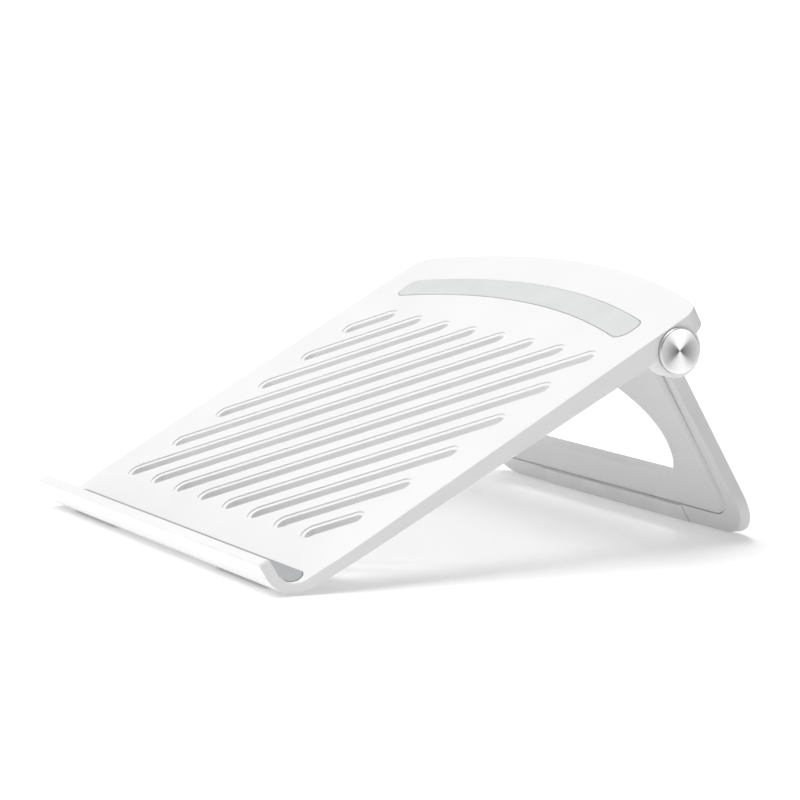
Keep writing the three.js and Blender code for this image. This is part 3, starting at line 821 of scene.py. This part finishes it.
for word, side in (("right", 1), ("left", -1)):
    foot = bevel(grip(side, CONTACT - PAD_THICKNESS, CONTACT, 0), PAD_EDGE, 3, 40)
    place(foot, DECK, f"front_foot_{word}", "deck", GREY, [f"front_grip_{word}"])

# ---- Hinges --------------------------------------------------------------------------------------


def cap_profile():
    """A flat-backed cap with a chamfered rim and a shallow dished face."""
    face = CAP_FACE + CAP_THICKNESS
    rim = CAP_RADIUS - CAP_EASE
    c = CAP_CHAMFER
    profile = [(0, CAP_FACE), (rim - 0.2, CAP_FACE), (rim, CAP_FACE + 0.2), (rim, face - c - 0.1),
               (rim - 0.08, face - c + 0.06), (rim - c + 0.06, face - 0.08), (rim - c - 0.1, face)]
    inner = rim - c - 0.5
    steps = 10
    for i in range(steps + 1):
        r = inner * (1 - i / steps)
        profile.append((r, face - 0.35 * (1 - r / inner) ** 1.2))
    return profile


for word, side in (("right", 1), ("left", -1)):
    cap = flip(turned(cap_profile(), steps=128), side)
    place(cap, HINGE, f"spun_cap_{word}", "deck", SPUN_PAINTED_LIGHT, [f"hinge_cap_{word}"], 20)

# ---- Leg -----------------------------------------------------------------------------------------


def face_at(down):
    """Half the leg's thickness at a depth below the hinge axis."""
    share = min(max(down, 0), LEG_LENGTH) / LEG_LENGTH
    return (LEG_TOP + (LEG_LOW - LEG_TOP) * share) / 2


def ground_at(y, rise):
    """How low the ground is under the leg at depth y, rise above it."""
    return -LEG_LENGTH - (y + LEG_LOW / 2) * math.tan(SOLE_TILT) + rise / math.cos(SOLE_TILT)


def leg_profile():
    front = -face_at(LEG_LENGTH)
    return rounded(
        [
            (-face_at(0), 0),
            (front, ground_at(front, SOLE_CLEARANCE)),
            (HEEL, ground_at(HEEL, SOLE_CLEARANCE), 0.8),
            (face_at(0), 0),
        ],
        6,
    )


def leg_front():
    edge = ground_at(-face_at(LEG_LENGTH), SOLE_CLEARANCE)
    foot = BARREL_OUTER + LEG_SPLAY
    return rounded(
        [
            (-foot, edge, LEG_CORNER),
            (foot, edge, LEG_CORNER),
            (BARREL_OUTER, -EAR_RADIUS),
            (BARREL_OUTER, 0),
            (BARREL_INNER, 0),
            (BARREL_INNER, -BAR_TOP, 2),
            (-BARREL_INNER, -BAR_TOP, 2),
            (-BARREL_INNER, 0),
            (-BARREL_OUTER, 0),
            (-BARREL_OUTER, -EAR_RADIUS),
        ],
        20,
    )


def foot_trim():
    """The leg's front view, cut along the ground's slope below its front edge."""
    front = deepways(leg_front(), -20, 20)
    slope = Matrix.Identity(4)
    slope[2][1] = -math.tan(SOLE_TILT)
    slope[2][3] = -face_at(LEG_LENGTH) * math.tan(SOLE_TILT)
    front.data.transform(slope)
    return front


def arch_outline(clearance):
    half = ARCH_HALF + clearance
    rise = ARCH_WIDEST - ARCH_TOP + clearance
    drop = ARCH_SILL - ARCH_WIDEST + clearance
    turn = ARCH_CORNER + clearance
    quarter = [math.pi / 2 * i / 18 for i in range(19)]
    corner = [(SILL_HALF + turn * math.sin(a), -drop * math.cos(a)) for a in quarter]
    crown = [(half * math.cos(a), rise * math.sin(a)) for a in quarter[1:]]
    right = corner + crown
    left = [(-x, z) for x, z in reversed(right[:-1])]
    return [(x, z - ARCH_WIDEST) for x, z in right + left]


def arch_cutter(front):
    """The arch through the panel, opening out a little at its front edge."""
    rings = []
    section = (
        (0.0, 20.0),
        (0.0, front + 0.6),
        (0.12, front + 0.28),
        (0.5, front - 0.1),
        (0.5, -20.0),
    )
    for out, y in section:
        rings.append([(x, y, z) for x, z in arch_outline(out)])
    return stack("arch", rings)


def panel_plan(clearance):
    half = PANEL_HALF - GAP + clearance
    low = -PANEL_BOTTOM - clearance
    high = -PANEL_TOP + clearance
    return rounded(
        [
            (-half, low, PANEL_CORNER + clearance),
            (half, low, PANEL_CORNER + clearance),
            (half, high, PANEL_TOP_CORNER),
            (-half, high, PANEL_TOP_CORNER),
        ],
        16,
    )


def front_layer(deep, out=5):
    """From out in front of the leg's front face to deep behind it."""
    return sideways(
        [
            (-face_at(0) - out, 0),
            (-face_at(LEG_LENGTH) - out, -LEG_LENGTH),
            (-face_at(LEG_LENGTH) + deep, -LEG_LENGTH),
            (-face_at(0) + deep, 0),
        ],
        -DECK_HALF,
        DECK_HALF,
    )


SCREWS = []
for sign in (1, -1):
    SCREWS.append((sign * (PANEL_HALF - SCREW_INSET), UPPER_SCREW))
    SCREWS.append((sign * LOWER_SCREW_HALF, LOWER_SCREW))


def pin(x, down, radius, low, high, steps=32):
    return deepways(circle((x, -down), radius, steps), low, high)


def panel_front(down):
    """The panel's front face at a depth below the hinge axis."""
    share = down / LEG_LENGTH
    return -face_at(down) - (PANEL_PROUD_TOP + (PANEL_PROUD - PANEL_PROUD_TOP) * share)


def panel_ring(inset_side, inset_end, y_of):
    """The panel's outline drawn in along its normals, more at the lower end than at the sides."""
    outline = panel_plan(0)
    count = len(outline)
    points = []
    for i, (x, z) in enumerate(outline):
        before, after = Vector(outline[i - 1]), Vector(outline[(i + 1) % count])
        along = (after - before).normalized()
        normal = Vector((along.y, -along.x))
        end = inset_end if normal.y < 0 else inset_side
        inset = inset_side * normal.x**2 + end * normal.y**2
        px, pz = x - normal.x * inset, z - normal.y * inset
        points.append((px, y_of(-pz), pz))
    return points


def make_panel():
    def back(down):
        return -face_at(down) + PANEL_DEEP

    def flush(down):
        return -face_at(down) - 0.02

    panel = stack(
        "panel",
        [
            panel_ring(0.0, 0.0, back),
            panel_ring(0.0, 0.0, lambda d: flush(d) + 0.55),
            panel_ring(0.05, 0.08, lambda d: flush(d) + 0.45),
            panel_ring(0.9, 2.7, lambda d: panel_front(d) + 0.03),
            panel_ring(1.0, 2.9, panel_front),
        ],
    )
    return cut(panel, arch_cutter(-face_at(ARCH_WIDEST) - ARCH_PROUD))


def foot_pad_profile(grow, clearance):
    front = -LEG_LOW / 2 - PAD_PROUD - grow
    back = HEEL - 1 + clearance
    inner = -LEG_LOW / 2 + FOOT_PAD_THICKNESS + clearance
    rise = FOOT_PAD_THICKNESS + clearance
    top = -FOOT_PAD_TOP + clearance
    return [
        (-face_at(FOOT_PAD_TOP) - PAD_PROUD - grow, top),
        (front, ground_at(front, -grow)),
        (back, ground_at(back, -grow)),
        (back, ground_at(back, rise)),
        (inner, ground_at(inner, rise)),
        (-face_at(FOOT_PAD_TOP) + FOOT_PAD_THICKNESS + clearance, top),
    ]


def foot_pad(grow, clearance):
    half = FOOT_PAD_LENGTH / 2 + clearance
    return sideways(foot_pad_profile(grow, clearance), -half, half)


def barrel(side):
    """The leg's barrel, with the lug that stops against the deck when the leg is open."""
    radius = BARREL_RADIUS
    body = turned(
        [(0, BARREL_INNER), (radius - 0.5, BARREL_INNER), (radius - 0.15, BARREL_INNER + 0.15),
         (radius, BARREL_INNER + 0.5), (radius, BARREL_OUTER - 0.3), (radius - 0.3, BARREL_OUTER),
         (0, BARREL_OUTER)],
        steps=72,
    )
    top = SKIN_OVER_HINGE - GAP
    lug = block(
        (BARREL_INNER + OVERLAP, 0, top - STOP_THICKNESS),
        (BARREL_OUTER - OVERLAP, STOP_REACH, top),
    )
    bevel(lug, 0.4, 3)
    lug.data.transform(Matrix.Rotation(-math.radians(LEG_LEAN), 4, "X"))
    return flip(join(body, lug), side)


def barrel_bore(side):
    """Room in the barrel for the nut, and the hole for the bolt."""
    room = NUT_FLATS / math.sqrt(3) + GAP
    hole = BOLT_RADIUS + GAP
    bore = turned(
        [(0, BARREL_INNER - 1), (room + 0.3, BARREL_INNER - 1), (room + 0.3, BARREL_INNER),
         (room, BARREL_INNER + 0.3), (room, SPOT), (hole, SPOT), (hole, BARREL_OUTER + 1),
         (0, BARREL_OUTER + 1)],
        steps=72,
    )
    return flip(bore, side)


def screw_room(x, down):
    """Room in the leg for a screw's head, its shank and the panel's boss round it."""
    head = face_at(down) - SCREW_RECESS
    return [
        pin(x, down, SCREW_HEAD_RADIUS + GAP, head - SCREW_HEAD_THICKNESS - GAP, 10),
        pin(x, down, SCREW_RADIUS + GAP, -10, 10),
        pin(x, down, BOSS_RADIUS + GAP, -10, -face_at(down) + PANEL_DEEP + BOSS_HEIGHT + GAP),
    ]


def make_leg():
    body = keep(sideways(leg_profile(), -DECK_HALF, DECK_HALF, "leg"), foot_trim())
    bevel(body, LEG_EDGE, 4, 28)
    join(body, *mirrored(barrel))
    pocket = keep(deepways(panel_plan(GAP), -20, 20), front_layer(PANEL_DEEP + GAP))
    # the rebate round the panel is deepest at the hinge and fades out towards the foot
    rebate = keep(
        deepways(panel_plan(GAP + REBATE_WIDTH), -20, 20),
        block((-DECK_HALF, -20, -LEG_LENGTH), (DECK_HALF, 20, -PANEL_TOP)),
        front_layer(0),
    )
    rebate.data.transform(Matrix.Translation((0, REBATE_DEPTH, 0)))
    fade = Matrix.Identity(4)
    fade[1][2] = REBATE_DEPTH / PANEL_BOTTOM
    rebate.data.transform(fade)
    rooms = [piece for spot in SCREWS for piece in screw_room(*spot)]
    return cut(
        body,
        pocket,
        rebate,
        deepways(arch_outline(ARCH_RELIEF), -20, 20),
        foot_pad(3, GAP),
        *mirrored(barrel_bore),
        *rooms,
    )


def screw(x, down):
    """A cross-headed screw, driven from the rear."""
    head = face_at(down) - SCREW_RECESS
    low = head - SCREW_HEAD_THICKNESS
    section = (
        (0.7, SCREW_TIP - face_at(down)),
        (SCREW_RADIUS, SCREW_TIP + 0.3 - face_at(down)),
        (SCREW_RADIUS, low),
        (SCREW_HEAD_RADIUS, low),
        (SCREW_HEAD_RADIUS, head - 0.35),
        (SCREW_HEAD_RADIUS - 0.12, head - 0.14),
        (SCREW_HEAD_RADIUS - 0.5, head),
    )
    rings = []
    for radius, y in section:
        rings.append([(x + px, y, pz - down) for px, pz in circle((0, 0), radius, 40)])
    body = stack("screw", rings)
    long, thin = CROSS_REACH, CROSS_HALF_WIDTH
    return cut(
        body,
        block((x - long, head - CROSS_DEPTH, -down - thin), (x + long, head + 1, -down + thin)),
        block((x - thin, head - CROSS_DEPTH, -down - long), (x + thin, head + 1, -down + long)),
    )


for i, spot in enumerate(SCREWS, 1):
    place(screw(*spot), LEG, f"cross_screw_{i}", "leg", STEEL, [f"panel_screw_{i}"])
place(make_leg(), LEG, "leg_shell", "leg", LEG_WHITE_PAINTED_SHADE, ["leg_frame"])
place(make_panel(), LEG, "leg_cover", "leg", LEG_WHITE_PAINTED_SHADE, ["leg_panel"], 25)
sole = bevel(foot_pad(0, 0), PAD_EDGE, 3, 20)
place(sole, LEG, "leg_sole", "leg", SOLE, ["leg_foot_pad"])

# ---- Carried-over CAD nodes ----------------------------------------------------------------------

FINISHES = {
    "hinge_bolt": STEEL,
    "lock_nut": STEEL,
    "spring_washer": STEEL,
    "ear_bush": NYLON,
    "friction_washer": NYLON,
}
for name, node in frame["nodes"].items():
    for stem, finish in FINISHES.items():
        if name.startswith(stem):
            node.data.materials.clear()
            node.data.materials.append(finish)
            edge = node.modifiers.new("edge", "BEVEL")
            edge.width = 0.15 * MM
            edge.segments = 2
            edge.limit_method = "ANGLE"
            edge.angle_limit = math.radians(40)

# ---- Camera, floor and light ---------------------------------------------------------------------

FLOOR_GLOW = 0.21
CEILING_STRENGTH = 2.3
CEILING_SPREAD = 50.0
FILL_SIZE = (1.4, 0.5)
FILL_POWER = 2.6
HORIZON = 0.16
SKY_STRENGTH = 0.42
CAMERA_AT = (1145.755, -643.904, 247.081)
CAMERA_AZIMUTH = 60.5552
CAMERA_ELEVATION = 8.2288
CAMERA_ROLL = 0.2418
LENS = 132.23

lens = bpy.data.cameras.new("camera")
lens.lens = LENS
lens.sensor_width = 36.0
camera = bpy.data.objects.new("camera", lens)
bpy.context.scene.collection.objects.link(camera)
camera.matrix_world = (
    Matrix.Translation(Vector(CAMERA_AT) * MM)
    @ Matrix.Rotation(math.radians(CAMERA_AZIMUTH), 4, "Z")
    @ Matrix.Rotation(math.radians(90 - CAMERA_ELEVATION), 4, "X")
    @ Matrix.Rotation(math.radians(CAMERA_ROLL), 4, "Z")
)
bpy.context.scene.camera = camera


def floor():
    """A pale table, lit a little from below."""
    far = 40000
    thing = plate([(-far, -far), (far, -far), (far, far), (-far, far)], -20, -0.2, "floor")
    thing.data.transform(Matrix.Scale(MM, 4))
    made, nodes, links, shader = material("pale_floor", (0.93, 0.93, 0.93), 0.9)
    speckle = noise(nodes, links, 3.0, 2.0)
    links.new(
        tint(nodes, links, speckle.outputs["Fac"], (0.925, 0.925, 0.925), (0.935, 0.935, 0.935)),
        shader.inputs["Base Color"],
    )
    shader.inputs["Emission Color"].default_value = (1, 1, 1, 1)
    shader.inputs["Emission Strength"].default_value = FLOOR_GLOW
    thing.data.materials.append(made)


def shine(name, light, where, target=(0.0, 0.0, 0.05)):
    """A light at where, turned to face target."""
    thing = bpy.data.objects.new(name, light)
    bpy.context.scene.collection.objects.link(thing)
    away = Vector(where) - Vector(target)
    thing.location = where
    thing.rotation_euler = away.to_track_quat("Z", "Y").to_euler()


def overhead(name, strength, spread, where):
    light = bpy.data.lights.new(name, "SUN")
    light.energy = strength
    light.angle = math.radians(spread)
    shine(name, light, where)


def panel_light(name, size, power, where):
    light = bpy.data.lights.new(name, "AREA")
    light.shape = "RECTANGLE"
    light.size, light.size_y = size
    light.energy = power
    shine(name, light, where)


floor()
overhead("ceiling", CEILING_STRENGTH, CEILING_SPREAD, (-0.45, -0.45, 2.0))
panel_light("front_fill", FILL_SIZE, FILL_POWER, (-0.5, -1.5, 0.25))

# a pale sky that greys towards the horizon
world = bpy.data.worlds.new("studio")
world.use_nodes = True
sky = world.node_tree
facing = sky.nodes.new("ShaderNodeTexCoord")
upward = sky.nodes.new("ShaderNodeSeparateXYZ")
wash = sky.nodes.new("ShaderNodeValToRGB")
wash.color_ramp.elements[0].color = (HORIZON, HORIZON, HORIZON, 1)
wash.color_ramp.elements[1].position = 0.7
wash.color_ramp.elements[1].color = (1.0, 1.0, 1.0, 1)
sky.links.new(facing.outputs["Generated"], upward.inputs["Vector"])
sky.links.new(upward.outputs["Z"], wash.inputs["Fac"])
sky.links.new(wash.outputs["Color"], sky.nodes["Background"].inputs["Color"])
sky.nodes["Background"].inputs["Strength"].default_value = SKY_STRENGTH
bpy.context.scene.world = world
bpy.context.scene.view_settings.view_transform = "Standard"
